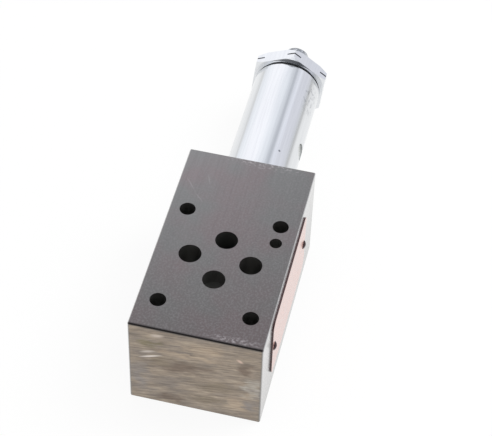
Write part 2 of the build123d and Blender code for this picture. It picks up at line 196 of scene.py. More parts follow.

# %% [markdown]
# The ground skin is painted palest at the housing's end and on the left. Toward the front it is painted
# darker, as a painted reflection of the dim studio behind the camera, and it also gets darker toward the
# right. On that lie clouds, greenish and brownish in turn, the stripes that the grinding wheel left along
# the block, and the grain of the phosphate crystals. Real crystals are about 0.02 mm, far below one pixel,
# so the grain is drawn at 0.7 mm, which is the finest that shows.
# The two long sides are painted brighter, from half way across their broken edges, and brightest toward the
# top: a painted reflection of the white ground, which they face at a grazing angle.

# %% Ground skin
# Painted reflection: toward the front the skin is painted darker, for the dim studio it mirrors there. It
# also gets darker toward the right.
toward_back = add(iron, "MapRange", {
    "Value": along, "From Min": block_low.x, "From Max": block_high.x, "To Min": 0.15,
})
toward_left = add(iron, "MapRange", {
    "Value": across, "From Min": block_low.y, "From Max": block_high.y, "To Min": 0.6,
})
painted_reflection_and_tone = add(iron, "Math", {0: toward_back, 1: toward_left}, operation="MULTIPLY")
clouds = add(iron, "TexNoise", {
    "Vector": add(iron, "VectorMath", {0: iron_place, 1: per(16)}, operation="MULTIPLY"),
    "Scale": 1.0, "Detail": 2.0,
})
stripes = add(iron, "TexNoise", {
    "Vector": add(iron, "VectorMath", {0: iron_place, 1: per(26, 0.8, 0.8)}, operation="MULTIPLY"),
    "Scale": 1.0, "Detail": 2.0,
})
grain = add(iron, "TexNoise", {
    "Vector": add(iron, "VectorMath", {0: iron_place, 1: per(0.7)}, operation="MULTIPLY"),
    "Scale": 1.0, "Detail": 3.0,
})
# The painted reflection and tone set how pale the skin is.
ground = add(iron, "Mix", {"Factor": painted_reflection_and_tone, "A": "#5c5656", "B": "#8a888a"}, data_type="RGBA")
cloud_tint = add(iron, "ValToRGB", {"Fac": clouds}, stops=[(0.38, "#f3f9f4"), (0.62, "#fdf0ef")])
ground = add(iron, "Mix", {
    "Factor": 1.0, "A": ground, "B": cloud_tint,
}, data_type="RGBA", blend_type="MULTIPLY")
# Painted reflection of the white ground: the long sides are painted pale, palest toward the top.
side_highlight_height = add(iron, "MapRange", {"Value": up, "From Min": block_low.z, "From Max": block_high.z})
painted_bright_side = add(iron, "Mix", {"Factor": side_highlight_height, "A": "#9a9794", "B": "#cbcac9"}, data_type="RGBA")
ground = add(iron, "Mix", {"Factor": long_side, "A": ground, "B": painted_bright_side}, data_type="RGBA")
stripe_share = add(iron, "MapRange", {"Value": stripes, "From Min": 0.4, "From Max": 0.7, "To Max": 0.18})
ground = add(iron, "Mix", {"Factor": stripe_share, "A": ground, "B": "#565354"}, data_type="RGBA")
grain_share = add(iron, "MapRange", {"Value": grain, "From Min": 0.45, "From Max": 0.65, "To Max": 0.34})
ground = add(iron, "Mix", {"Factor": grain_share, "A": ground, "B": "#918d8f"}, data_type="RGBA")
print("ground skin made, nodes so far:", len(iron.node_tree.nodes))

# %% [markdown]
# The block has been handled, and there are a few thin scratches on its top. Each mark is a soft
# patch, longer one way than the other, that may be turned. Scratches could be cut into the mesh,
# but ones this shallow show only as a change of brightness.

# %% Scratches
def soft_patch(material, place, centre, reach, turn=(0, 0, 0)):
    """1 about a place and 0 beyond its reach along its own X, Y and Z, in mm and degrees."""
    own_place = add(material, "Mapping", {
        "Vector": place,
        "Location": [c * millimetre for c in centre],
        "Rotation": [math.radians(angle) for angle in turn],
        "Scale": [r * millimetre for r in reach],
    }, vector_type="TEXTURE")
    distance = add(material, "VectorMath", {0: own_place}, operation="LENGTH")
    return add(material, "MapRange", {"Value": distance, "From Min": 1.0, "From Max": 0.3})


top = block_high.z / millimetre
wear_depth = 2
scratch_width = 0.3
scratch_share = 0.22
scratches = (((30.5, 18.2), 4.2, 38), ((34, 12.5), 3.0, 20), ((25, 13.8), 3.2, 47))
for place_on_top, scratch_length, scratch_turn in scratches:
    scratch_reach = (scratch_length, scratch_width, wear_depth)
    scratch = soft_patch(iron, iron_place, (*place_on_top, top), scratch_reach, (0, 0, scratch_turn))
    faint = add(iron, "Math", {0: scratch, 1: scratch_share}, operation="MULTIPLY")
    ground = add(iron, "Mix", {"Factor": faint, "A": ground, "B": "#b4b2b2"}, data_type="RGBA")
print("scratches:", len(scratches), "nodes so far:", len(iron.node_tree.nodes))

# %% [markdown]
# Beside the front edge something pale has rubbed off on the top, and the back edge shows small
# bright nicks. Both are soft patches again, but they let a fine, broken-up pattern through,
# because real wear is never a clean shape.

# %% Rubbed and nicked edges
flecks = add(iron, "TexNoise", {
    "Vector": add(iron, "VectorMath", {0: iron_place, 1: per(0.8, 1.3, 0.8)}, operation="MULTIPLY"),
    "Scale": 1.0, "Detail": 4.0,
})
front_rub = soft_patch(iron, iron_place, (-31.5, -12.8, top), (1.7, 11, wear_depth))
rub_flecks = add(iron, "MapRange", {"Value": flecks, "From Min": 0.46, "From Max": 0.64, "To Max": 0.75})
rubbed = add(iron, "Math", {0: front_rub, 1: rub_flecks}, operation="MULTIPLY")
ground = add(iron, "Mix", {"Factor": rubbed, "A": ground, "B": "#b3acae"}, data_type="RGBA")

back_edge = soft_patch(iron, iron_place, (45.5, -5, top), (2.6, 17, wear_depth))
nick_cells = add(iron, "MapRange", {"Value": flecks, "From Min": 0.5, "From Max": 0.66, "To Max": 0.5})
nicked = add(iron, "Math", {0: back_edge, 1: nick_cells}, operation="MULTIPLY")
ground = add(iron, "Mix", {"Factor": nicked, "A": ground, "B": "#c2bdbe"}, data_type="RGBA")
print("worn edges made, nodes so far:", len(iron.node_tree.nodes))

# %% [markdown]
# Oil and old coolant have dried on the milled front face in brown, olive, straw and grey. Each
# stain is a soft patch too, with its place and reach along Y and Z, and a slope. Their places
# are pushed about by a noise, so that none keeps a neat oval shape. A painted picture could hold
# the stains as well, but it would be bound to its pixels.

# %% Stains of the milled front face
front = block_low.x / millimetre
stain_depth = 3
wander = add(iron, "TexNoise", {
    "Vector": add(iron, "VectorMath", {0: iron_place, 1: per(5, 6, 3)}, operation="MULTIPLY"),
    "Scale": 1.0, "Detail": 4.0,
})
push = add(iron, "VectorMath", {0: wander.outputs["Color"], 1: (0.5, 0.5, 0.5)}, operation="SUBTRACT")
push_reach = [reach * millimetre for reach in (0, 16, 8)]
loose_place = add(iron, "VectorMath", {0: push, 1: push_reach, 2: iron_place}, operation="MULTIPLY_ADD")
brown, dun, straw, olive = "#786553", "#8a7b66", "#b5a28b", "#83785a"
dull_grey, pale_grey = "#938a83", "#b7b0a5"
stains = (
    (brown, (4, 22), (13, 4), -8),
    (straw, (0, 28.7), (14, 1.8), -2),
    (straw, (-3.5, 33.5), (7, 3.5), -8),
    (olive, (15, 31.8), (5.5, 2.6), -20),
    (brown, (-17, 28), (5, 4), 0),
    (straw, (-13.8, 7.5), (4, 6), 20),
    (pale_grey, (-19.5, 18), (3.5, 7), 10),
    (dull_grey, (-19.5, 8), (4, 4), 0),
    (dull_grey, (19, 12), (5, 10), 0),
    (brown, (9, 4), (6, 2.5), -8),
    (dun, (11.5, 23), (6.5, 3.5), -15),
    (dun, (-7, 15), (9, 4), -8),
    (dun, (-4, 7), (7, 3), -8),
    (dull_grey, (-21, 15.5), (3, 4), 0),
)


def lay_marks(colour, place, marks):
    """Lay soft marks over the milled front face. Places and reaches are along Y and Z."""
    for mark_colour, centre, reach, slope in marks:
        mark = soft_patch(iron, place, (front, *centre), (stain_depth, *reach), (slope, 0, 0))
        colour = add(iron, "Mix", {"Factor": mark, "A": colour, "B": mark_colour}, data_type="RGBA")
    return colour


print("stains:", len(stains))

# %% [markdown]
# Under the stains the milled ends are blotched, and the cutter's marks run across them at a slight slope.
# One noise of fine lines, much longer than high, darkens all of it, and last come the bright strokes of a
# tool. The end faces are darker toward their upright edges, and the upper front edge is painted as a dark
# line, a painted dark reflection on its chamfer.

# %% Milled end faces
milled_slope = -10
dark_line_width = 1.0
past_both_ends = 500
strokes = (
    ("#b5aaa0", (16, 27.0), (3.4, 0.8), -20),
    ("#e2d8d0", (15, 24.8), (4.8, 0.5), -21),
    ("#bcaea1", (12.6, 36.4), (2.8, 1.0), -10),
    ("#c8ad9b", (-15, 31.9), (1.6, 0.8), 35),
)
sloped_place = add(iron, "Mapping", {
    "Vector": iron_place, "Rotation": (math.radians(milled_slope), 0, 0),
}, vector_type="TEXTURE")
blotches = add(iron, "TexNoise", {
    "Vector": add(iron, "VectorMath", {0: sloped_place, 1: per(20, 10, 3)}, operation="MULTIPLY"),
    "Scale": 1.0, "Detail": 5.0, "Roughness": 0.6,
})
milled = add(iron, "ValToRGB", {"Fac": blotches}, stops=[
    (0.36, "#887c70"), (0.48, "#978979"), (0.56, "#a0917f"), (0.66, "#b0a08c"),
])
milled = lay_marks(milled, loose_place, stains)
fine_marks = add(iron, "TexNoise", {
    "Vector": add(iron, "VectorMath", {0: sloped_place, 1: per(20, 7, 0.6)}, operation="MULTIPLY"),
    "Scale": 1.0, "Detail": 4.0, "Roughness": 0.6,
})
mark_tint = add(iron, "ValToRGB", {"Fac": fine_marks}, stops=[(0.34, "#c2bdb7"), (0.66, "#ffffff")])
milled = add(iron, "Mix", {
    "Factor": 1.0, "A": milled, "B": mark_tint,
}, data_type="RGBA", blend_type="MULTIPLY")
milled = lay_marks(milled, iron_place, strokes)
# The end faces are darker toward their upright edges.
to_upright_edge = add(iron, "Math", {0: past_x, 1: past_y}, operation="MINIMUM")
upright_edge_darkening = add(iron, "MapRange", {
    "Value": to_upright_edge, "From Min": -2 * chamfer_reach, "From Max": -chamfer_reach / 2, "To Max": 0.6,
})
milled = add(iron, "Mix", {"Factor": upright_edge_darkening, "A": milled, "B": "#63655f"}, data_type="RGBA")
# Painted dark reflection: a dark band along the upper front edge's chamfer.
line_reach = (dark_line_width, past_both_ends, dark_line_width)
painted_dark_front_edge = soft_patch(iron, iron_place, (front, 0, top), line_reach)
print("strokes:", len(strokes), "nodes so far:", len(iron.node_tree.nodes))

# %% [markdown]
# Now the zones are laid over each other, and the same patterns also drive how matt the skin is
# and how far it stands up. Tool marks on iron are a few hundredths of a millimetre deep.

# %% Put the zones together
tool_mark_depth = 0.02 * millimetre
stripe_height = 0.4
skin = add(iron, "Mix", {"Factor": end_face, "A": ground, "B": milled}, data_type="RGBA")
# The painted dark reflection of the upper front edge.
skin = add(iron, "Mix", {"Factor": painted_dark_front_edge, "A": skin, "B": "#2b2625"}, data_type="RGBA")
skin = add(iron, "Mix", {"Factor": drilled, "A": skin, "B": "#807f7c"}, data_type="RGBA")
matt = add(iron, "MapRange", {
    "Value": grain, "From Min": 0.35, "From Max": 0.7, "To Min": 0.34, "To Max": 0.44,
})
tool_marks = add(iron, "Math", {0: stripes, 1: stripe_height, 2: grain}, operation="MULTIPLY_ADD")
tool_bump = add(iron, "Bump", {"Height": tool_marks, "Distance": tool_mark_depth})
connect(iron, iron_shader, {"Base Color": skin, "Roughness": matt, "Normal": tool_bump})
print("iron:", len(iron.node_tree.nodes), "nodes")

# %% [markdown]
# ## Turned steel with a bright zinc plating
#
# The housing, the cap, the screw and its nut are turned steel, plated with zinc and passivated
# blue, so they are a pale, slightly cool metal. The lathe leaves fine rings round the axis,
# 0.1 mm apart, and handling rubs faint lines along the tube. Both are drawn at about 0.7 mm,
# the finest that shows, and very shallow: they break up the reflections a little. The rings
# could be real grooves in the mesh, but at a thousandth of a millimetre a bump does the same.

# %% Plated steel
lathe_depth = 0.001 * millimetre
plating, plating_shader, plating_place = new_material("blue_zinc_plated_steel", Metallic=1.0)
rings = add(plating, "TexNoise", {
    "Vector": add(plating, "VectorMath", {0: plating_place, 1: per(0.7, 60, 60)}, operation="MULTIPLY"),
    "Scale": 1.0, "Detail": 3.0,
})
rub_lines = add(plating, "TexNoise", {
    "Vector": add(plating, "VectorMath", {0: plating_place, 1: per(22, 0.7, 0.7)}, operation="MULTIPLY"),
    "Scale": 1.0, "Detail": 3.0,
})
zinc = add(plating, "Mix", {
    "Factor": add(plating, "MapRange", {"Value": rub_lines, "From Min": 0.35, "From Max": 0.7}),
    "A": "#e4e6e8", "B": "#dcdee1",
}, data_type="RGBA")
plating_matt = add(plating, "MapRange", {
    "Value": rub_lines, "From Min": 0.3, "From Max": 0.7, "To Min": 0.11, "To Max": 0.16,
})
lathe_bump = add(plating, "Bump", {"Height": rings, "Distance": lathe_depth})
print("plating, nodes so far:", len(plating.node_tree.nodes))

# %% [markdown]
# A small pit in the tube is a dark soft patch, and a wrench has scuffed the tube near the cap.
# The groove round the cap's corners is painted dark as painted shade, and the pin spanner's hole gets a pale
# patch as painted light. Both are found by their distance from the axis, which no other outer face has
# there. The pale patch is not metal, so the metallic value falls to 0 where it lies.

# %% Wear, painted shade and painted light on the plating
pit_radius = 0.6
groove_middle = 108.45 * millimetre
groove_reach = 0.3 * millimetre
corner_distance = 14.2 * millimetre
hole_distance = 12.45 * millimetre
pit = soft_patch(plating, plating_place, (62, -6.4, 30.9), (pit_radius, pit_radius, pit_radius))
zinc = add(plating, "Mix", {"Factor": pit, "A": zinc, "B": "#70737a"}, data_type="RGBA")

scuffs = add(plating, "TexNoise", {
    "Vector": add(plating, "VectorMath", {0: plating_place, 1: per(1.6, 1.2, 1.2)}, operation="MULTIPLY"),
    "Scale": 1.0, "Detail": 4.0, "Roughness": 0.6,
})
scuff_cells = add(plating, "MapRange", {"Value": scuffs, "From Min": 0.5, "From Max": 0.62, "To Max": 0.6})
scuffed_place = soft_patch(plating, plating_place, (96, -10.8, 26.5), (11, 4.5, 5.5))
scuffed = add(plating, "Math", {0: scuff_cells, 1: scuffed_place}, operation="MULTIPLY")
zinc = add(plating, "Mix", {"Factor": scuffed, "A": zinc, "B": "#8b8e94"}, data_type="RGBA")

off_axis = add(plating, "VectorMath", {
    0: plating_place, 1: (0, 1, 1), 2: (0, 0, -block_middle.z),
}, operation="MULTIPLY_ADD")
axis_distance = add(plating, "VectorMath", {0: off_axis}, operation="LENGTH").outputs["Value"]
tube_x = add(plating, "SeparateXYZ", {0: plating_place}).outputs["X"]
in_groove = add(plating, "Math", {0: tube_x, 1: groove_middle, 2: groove_reach}, operation="COMPARE")
at_corner = add(plating, "Math", {0: axis_distance, 1: corner_distance}, operation="GREATER_THAN")
# Painted shade: the groove round the cap's corners is painted dark.
groove_painted_shade = add(plating, "Math", {0: in_groove, 1: at_corner}, operation="MULTIPLY")
zinc = add(plating, "Mix", {"Factor": groove_painted_shade, "A": zinc, "B": "#4b4e55"}, data_type="RGBA")
# Painted light: a pale, non-metallic patch in the pin spanner's hole.
by_hole = soft_patch(plating, plating_place, (71.8, -12.2, 21.7), (12, 5, 12))
below_tube = add(plating, "Math", {0: axis_distance, 1: hole_distance}, operation="LESS_THAN")
hole_painted_light = add(plating, "Math", {0: by_hole, 1: below_tube}, operation="MULTIPLY")
zinc = add(plating, "Mix", {"Factor": hole_painted_light, "A": zinc, "B": "#b4b7b6"}, data_type="RGBA")
metallic_outside_hole_light = add(plating, "Math", {0: 1.0, 1: hole_painted_light}, operation="SUBTRACT")
connect(plating, plating_shader, {
    "Base Color": zinc, "Metallic": metallic_outside_hole_light, "Roughness": plating_matt, "Normal": lathe_bump,
})
print("plating:", len(plating.node_tree.nodes), "nodes")

# %% [markdown]
# ## Hidden steel parts
#
# The spool and the spring's two guides are hardened and ground, so they are brighter and
# smoother than the plating. The spring is dark wire with an oil film. The little orifice screw
# and the drive pins are blackened steel. All three are one noise that drives colour and gloss
# together; only its stretch and its colours differ, so a loop makes them.

# %% Hardened, spring and blackened steel
steel_mark_depth = 0.004 * millimetre
steel_kinds = {
    "hardened_ground_steel": ((0.5, 40, 40), "#b9b8b6", "#cfcecd", 0.1, 0.2),
    "oiled_spring_steel": ((1.6, 1.6, 1.6), "#4c4845", "#6f6a66", 0.28, 0.45),
    "blackened_steel": ((0.8, 0.8, 0.8), "#3a2c2c", "#57474a", 0.3, 0.5),
}
steels = {}
for steel_name, (cell, dark, light, smoothest, roughest) in steel_kinds.items():
    steel, steel_shader, steel_place = new_material(steel_name, Metallic=1.0)
    marks = add(steel, "TexNoise", {
        "Vector": add(steel, "VectorMath", {0: steel_place, 1: per(*cell)}, operation="MULTIPLY"),
        "Scale": 1.0, "Detail": 3.0,
    })
    mark_share = add(steel, "MapRange", {"Value": marks, "From Min": 0.3, "From Max": 0.7})
    steel_colour = add(steel, "Mix", {"Factor": mark_share, "A": dark, "B": light}, data_type="RGBA")
    steel_matt = add(steel, "MapRange", {"Value": mark_share, "To Min": smoothest, "To Max": roughest})
    steel_bump = add(steel, "Bump", {"Height": marks, "Distance": steel_mark_depth})
    connect(steel, steel_shader, {"Base Color": steel_colour, "Roughness": steel_matt, "Normal": steel_bump})
    steels[steel_name] = steel
print("steels:", ", ".join(steels))

# %% [markdown]
# ## Rubber and bonded fibre
#
# The seals are nitrile rubber, moulded smooth and wiped with oil, so they are black with a soft
# shine. The flat ring between housing and cap is bonded fibre: dark grey and more matt. The
# pale bloom on rubber is in spots of about 2 mm.

# %% Seals
rubber, rubber_shader, rubber_place = new_material("moulded_nitrile_rubber", Metallic=0.0)
bloom = add(rubber, "TexNoise", {
    "Vector": add(rubber, "VectorMath", {0: rubber_place, 1: per(1.8)}, operation="MULTIPLY"),
    "Scale": 1.0, "Detail": 4.0,
})
bloom_share = add(rubber, "MapRange", {"Value": bloom, "From Min": 0.4, "From Max": 0.7})
rubber_colour = add(rubber, "Mix", {"Factor": bloom_share, "A": "#171718", "B": "#26272a"}, data_type="RGBA")
rubber_matt = add(rubber, "MapRange", {"Value": bloom_share, "To Min": 0.4, "To Max": 0.6})
connect(rubber, rubber_shader, {"Base Color": rubber_colour, "Roughness": rubber_matt})

fibre_depth = 0.03 * millimetre
fibre, fibre_shader, fibre_place = new_material("bonded_fibre", Metallic=0.0, Roughness=0.7)
fibre_spots = add(fibre, "TexNoise", {
    "Vector": add(fibre, "VectorMath", {0: fibre_place, 1: per(0.7)}, operation="MULTIPLY"),
    "Scale": 1.0, "Detail": 4.0,
})
fibre_share = add(fibre, "MapRange", {"Value": fibre_spots, "From Min": 0.35, "From Max": 0.7})
fibre_colour = add(fibre, "Mix", {"Factor": fibre_share, "A": "#2c2d2e", "B": "#4a4c4d"}, data_type="RGBA")
fibre_bump = add(fibre, "Bump", {"Height": fibre_spots, "Distance": fibre_depth})
connect(fibre, fibre_shader, {"Base Color": fibre_colour, "Normal": fibre_bump})
print("rubber and fibre made")

# %% [markdown]
# ## The name plate
#
# A thin aluminium plate, lacquered red and worn to a pale pink, with dark maroon rim faces. It is bare. A
# second material on the rim's faces would do, but the surface normal already tells rim and face apart: the
# dark colour goes wherever the plate doesn't face straight out. Lacquer is a clear, smooth layer, so its
# metallic value is 0.

# %% Lacquered plate
lacquer, lacquer_shader, lacquer_place = new_material("red_lacquered_aluminium", Metallic=0.0)
wear = add(lacquer, "TexNoise", {
    "Vector": add(lacquer, "VectorMath", {0: lacquer_place, 1: per(5, 5, 3)}, operation="MULTIPLY"),
    "Scale": 1.0, "Detail": 4.0,
})
wear_share = add(lacquer, "MapRange", {"Value": wear, "From Min": 0.35, "From Max": 0.7})
worn_red = add(lacquer, "Mix", {"Factor": wear_share, "A": "#c1948a", "B": "#cea79d"}, data_type="RGBA")
facing = add(lacquer, "SeparateXYZ", {0: add(lacquer, "TexCoord").outputs["Normal"]}).outputs["Y"]
outward = add(lacquer, "Math", {0: facing}, operation="ABSOLUTE")
rim = add(lacquer, "MapRange", {"Value": outward, "From Min": 0.9, "From Max": 0.6})
plate_colour = add(lacquer, "Mix", {"Factor": rim, "A": worn_red, "B": "#4a3334"}, data_type="RGBA")
plate_matt = add(lacquer, "MapRange", {"Value": wear_share, "To Min": 0.12, "To Max": 0.22})
connect(lacquer, lacquer_shader, {"Base Color": plate_colour, "Roughness": plate_matt})
print("lacquer:", len(lacquer.node_tree.nodes), "nodes")

# %% [markdown]
# ## The adjusting screw's thread
#
# The CAD solid is a plain bar. The real screw has a fine M10 thread, 1.25 mm from turn to turn,
# and you can see about five turns of it. A Screw modifier could wind a profile, but it leaves
# loose ends at both ends of the thread. Here the surface is a grid: rings of points along the
# bar, and the radius of each point comes from how far it is along the turn. The thread then
# runs out cleanly into the chamfers.

# %% The thread's form
thread_pitch = 1.25 * millimetre
depth_per_pitch = 0.613
thread_depth = depth_per_pitch * thread_pitch
crest_share = 0.125
root_share = 0.25
ring_points = 64


def thread_radius(x, angle, outer):
    """Radius of the threaded surface: a flat crest, two flanks and a flat root."""
    along_turn = (x / thread_pitch - angle / (2 * math.pi)) % 1.0
    from_crest = min(along_turn, 1.0 - along_turn)
    flank = (from_crest - crest_share / 2) / (0.5 - crest_share / 2 - root_share / 2)
    return outer - thread_depth * min(max(flank, 0.0), 1.0)


def ring_of(mesh, x, radius_at, centre_z):
    """One ring of points about the bar's axis. Radius_at gives the radius for an angle."""
    ring = []
    for number in range(ring_points):
        angle = 2 * math.pi * number / ring_points
        radius = radius_at(angle)
        ring.append(mesh.verts.new((x, radius * math.cos(angle), centre_z + radius * math.sin(angle))))
    return ring


print("thread depth in millimetres:", round(thread_depth / millimetre, 2))

# %% [markdown]
# The screw, the seals and the spring are all rings of points that are joined into strips. One
# function joins two rings, and one turns the mesh into a piece. That one also says which edges
# stay sharp, because a thread's crests would look melted if all of it were shaded smooth. A
# Bevel modifier could soften them instead, but on so fine a thread it costs many faces.

# %% From rings to a piece
smooth_below = math.radians(38)


def join_rings(mesh, first, second):
    """Close the strip between two rings with four-sided faces."""
    for number in range(len(first)):
        after = (number + 1) % len(first)
        mesh.faces.new((first[number], first[after], second[after], second[number]))


def finish_piece(mesh, name, material, node):
    """Turn a mesh into a piece that stands for a CAD node."""
    bmesh.ops.recalc_face_normals(mesh, faces=mesh.faces)
    data = bpy.data.meshes.new(name)
    mesh.to_mesh(data)
    mesh.free()
    piece = bpy.data.objects.new(name, data)
    bpy.context.scene.collection.objects.link(piece)
    data.materials.append(material)
    for face in data.polygons:
        face.use_smooth = True
    data.set_sharp_from_angle(angle=smooth_below)
    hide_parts(node)
    print(name, "faces:", len(data.polygons))
    return piece


print("edges stay sharp from", round(math.degrees(smooth_below)), "degrees")

# %% [markdown]
# Now the screw itself. From inside to outside it has a plain tip, the thread with a chamfer at
# both ends, and a hexagon socket for the key. A Boolean could cut the socket, but two more rings,
# on a hexagon instead of a circle, do the same and leave clean faces.

# %% Threaded screw
rows_per_turn = 12
tip_radius = 3.75 * millimetre
tip_length = 2 * millimetre
screw_chamfer = 0.8 * millimetre
socket_width = 5 * millimetre
socket_depth = 5 * millimetre


def hexagon_radius(angle, across_flats):
    """Distance from the middle of a hexagon to its side, in the direction of an angle."""
    sixth = math.pi / 3
    return across_flats / 2 / math.cos((angle + sixth / 2) % sixth - sixth / 2)


def build_screw():
    """The whole adjusting screw: plain tip, thread, chamfer and hexagon socket."""
    low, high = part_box("adjusting_screw")
    axis_z = (low.z + high.z) / 2
    outer = (high.z - low.z) / 2
    thread_start = low.x + tip_length
    mesh = bmesh.new()

    rows = [ring_of(mesh, x, lambda angle: tip_radius, axis_z) for x in (low.x, thread_start)]
    row_count = round((high.x - thread_start) / thread_pitch * rows_per_turn)
    for number in range(row_count + 1):
        x = thread_start + (high.x - thread_start) * number / row_count
        from_ends = min(x - thread_start, high.x - x)
        allowed = outer - max(screw_chamfer - from_ends, 0.0)
        rows.append(ring_of(mesh, x, lambda angle: min(thread_radius(x, angle, outer), allowed), axis_z))
    for x in (high.x, high.x - socket_depth):
        rows.append(ring_of(mesh, x, lambda angle: hexagon_radius(angle, socket_width), axis_z))
    for first, second in zip(rows, rows[1:]):
        join_rings(mesh, first, second)
    mesh.faces.new(rows[0])
    mesh.faces.new(rows[-1])
    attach(finish_piece(mesh, "threaded_screw", plating, "adjusting_screw"), "screw")


build_screw()

# %% [markdown]
# ## The seal rings of the mounting face
#
# A moulded ring has no sharp edges. Each one is a small rounded section, swept once round. The
# section's corners could come from a Bevel modifier, but a ring of only a few points is just as
# short to write.

# %% Port seals
seal_width = 1.5 * millimetre
seal_corner = 0.4 * millimetre
seal_segments = 96
corner_steps = 4


def rounded_section(width, height, corner):
    """Points round a rectangle with round corners, about its middle."""
    points = []
    for quarter in range(4):
        turn = quarter * math.pi / 2
        side_x = math.copysign(width / 2 - corner, math.cos(turn + math.pi / 4))
        side_z = math.copysign(height / 2 - corner, math.sin(turn + math.pi / 4))
        for step in range(corner_steps + 1):
            angle = turn + math.pi / 2 * step / corner_steps
            points.append((side_x + corner * math.cos(angle), side_z + corner * math.sin(angle)))
    return points


def build_port_seal(node):
    """A moulded ring in the place of one CAD ring."""
    low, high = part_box(node)
    middle = (low + high) / 2
    radius = (high.x - low.x) / 2 - seal_width / 2
    section = rounded_section(seal_width, high.z - low.z, seal_corner)
    mesh = bmesh.new()
    rings = []
    for number in range(seal_segments):
        angle = 2 * math.pi * number / seal_segments
        outward = Vector((math.cos(angle), math.sin(angle), 0))
        places = [middle + outward * (radius + out) + Vector((0, 0, rise)) for out, rise in section]
        rings.append([mesh.verts.new(point) for point in places])
    for number, ring in enumerate(rings):
        join_rings(mesh, ring, rings[(number + 1) % seal_segments])
    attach(finish_piece(mesh, f"moulded_{node}", rubber, node), "valve")


for port in "ptab":
    build_port_seal(f"port_seal_{port}")

# %% [markdown]
# ## The control spring
#
# The spring has a closed turn at either end, ground flat so that it stands square. A curve with
# a round bevel would make the wire in one step. Here it is rings of points along the turns,
# because the ends are then ground flat by holding back the X of their points.

# %% The run of the wire
mean_radius = 6.2 * millimetre
wire_radius = 1.2 * millimetre
closed_pitch = 2.55 * millimetre
open_turns = 5.5
wire_points = 12
rings_per_turn = 28
small_turn = 0.01
spring_low, spring_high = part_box("control_spring")
open_pitch = (spring_high.x - spring_low.x - 2 * closed_pitch) / open_turns


def wire_x(turn):
    """How far the wire's middle has come along X: close turns at both ends, open ones between."""
    closed = min(turn, 1) + max(turn - 1 - open_turns, 0)
    opened = min(max(turn - 1, 0), open_turns)
    return spring_low.x + closed * closed_pitch + opened * open_pitch


def wire_ring(mesh, turn):
    """One ring of points round the wire, square to its run, and ground flat at the spring's ends."""
    angle = 2 * math.pi * turn
    radial = Vector((0, math.sin(angle), -math.cos(angle)))
    rise = (wire_x(turn + small_turn) - wire_x(turn - small_turn)) / (2 * small_turn) / (2 * math.pi)
    run = Vector((rise, mean_radius * math.cos(angle), mean_radius * math.sin(angle))).normalized()
    sideways = run.cross(radial)
    middle = Vector((wire_x(turn), 0, block_middle.z)) + radial * mean_radius
    ring = []
    for number in range(wire_points):
        around = 2 * math.pi * number / wire_points
        point = middle + wire_radius * (math.cos(around) * radial + math.sin(around) * sideways)
        point.x = min(max(point.x, spring_low.x), spring_high.x)
        ring.append(mesh.verts.new(point))
    return ring


print("open turns:", open_turns, "pitch in millimetres:", round(open_pitch / millimetre, 2))

# %% [markdown]
# The spring is squeezed between the spool's seat and the sliding cap whenever one of them moves.
# A piece can bend between two bodies that one joint joins, but the spring's ends ride on bodies that each
# slide in the valve on their own. So it is made as two halves that meet in its still middle.

# %% The spring's two halves
def build_spring_half(name, first_turn, last_turn):
    """Half of the spring, from its first turn to its last."""
    mesh = bmesh.new()
    count = round((last_turn - first_turn) * rings_per_turn)
    turns = [first_turn + (last_turn - first_turn) * number / count for number in range(count + 1)]
    rings = [wire_ring(mesh, turn) for turn in turns]
    for first, second in zip(rings, rings[1:]):
        join_rings(mesh, first, second)
    mesh.faces.new(rings[0])
    mesh.faces.new(rings[-1])
    half = finish_piece(mesh, name, steels["oiled_spring_steel"], "control_spring")
    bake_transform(half)


all_turns = open_turns + 2
half_way = all_turns / 2
build_spring_half("spring_seat_half", 0, half_way)
build_spring_half("spring_cap_half", half_way, all_turns)

# %% [markdown]
# ## Give every CAD node its material
#
# The other nodes keep their CAD shape. A table says which finish each one has. The nodes that a
# piece stands for are hidden, but have one too.

# %% Materials of the CAD nodes
finishes = {
    iron: ["valve_body"],
    plating: ["spring_housing", "end_cap", "lock_washer", "lock_nut", "gauge_plug", "adjusting_screw"],
    steels["hardened_ground_steel"]: ["spring_cap", "spring_seat", "control_spool"],
    steels["oiled_spring_steel"]: ["control_spring"],
    steels["blackened_steel"]: ["damping_orifice", "plate_pins"],
    rubber: ["housing_seal", "spring_cap_seal", "gauge_plug_seal"]
    + [f"port_seal_{port}" for port in "ptab"],
    fibre: ["cap_seal"],
    lacquer: ["name_plate"],
}
for material, nodes in finishes.items():
    for node in nodes:
        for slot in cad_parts[node].material_slots:
            slot.material = material
    print(material.name, "on", len(nodes), "nodes")

# %% [markdown]
# ## The floor
#
# The valve stands on a wide white table. A backdrop that curves up behind would do as well, but
# the photo looks down so steeply that one flat square fills it. It lies a hair below the
# mounting face, because two surfaces in one plane flicker.

# %% Floor
floor_reach = 3.0
floor_drop = 0.05 * millimetre

floor_mesh = bmesh.new()
corners = [(-1, -1), (1, -1), (1, 1), (-1, 1)]
floor_mesh.faces.new([floor_mesh.verts.new((x * floor_reach, y * floor_reach, 0)) for x, y in corners])
floor_data = bpy.data.meshes.new("floor")
floor_mesh.to_mesh(floor_data)
floor_mesh.free()
floor = bpy.data.objects.new("floor", floor_data)
floor.location.z = -floor_drop
bpy.context.scene.collection.objects.link(floor)
print("floor:", 2 * floor_reach, "m wide")

# %% [markdown]
# The photo has a pure white ground. Most of the floor's white is its own light, shown to the
# camera and in mirrors but not shed on the valve, so it looks white without more light on the
# metal. The rest is an ordinary surface, on which the valve's soft shadow still falls. In the
# metal you can see where the white table ends: on the right and far behind it gets darker.
# From below the floor is clear, so that you can look at the mounting face with its seals.

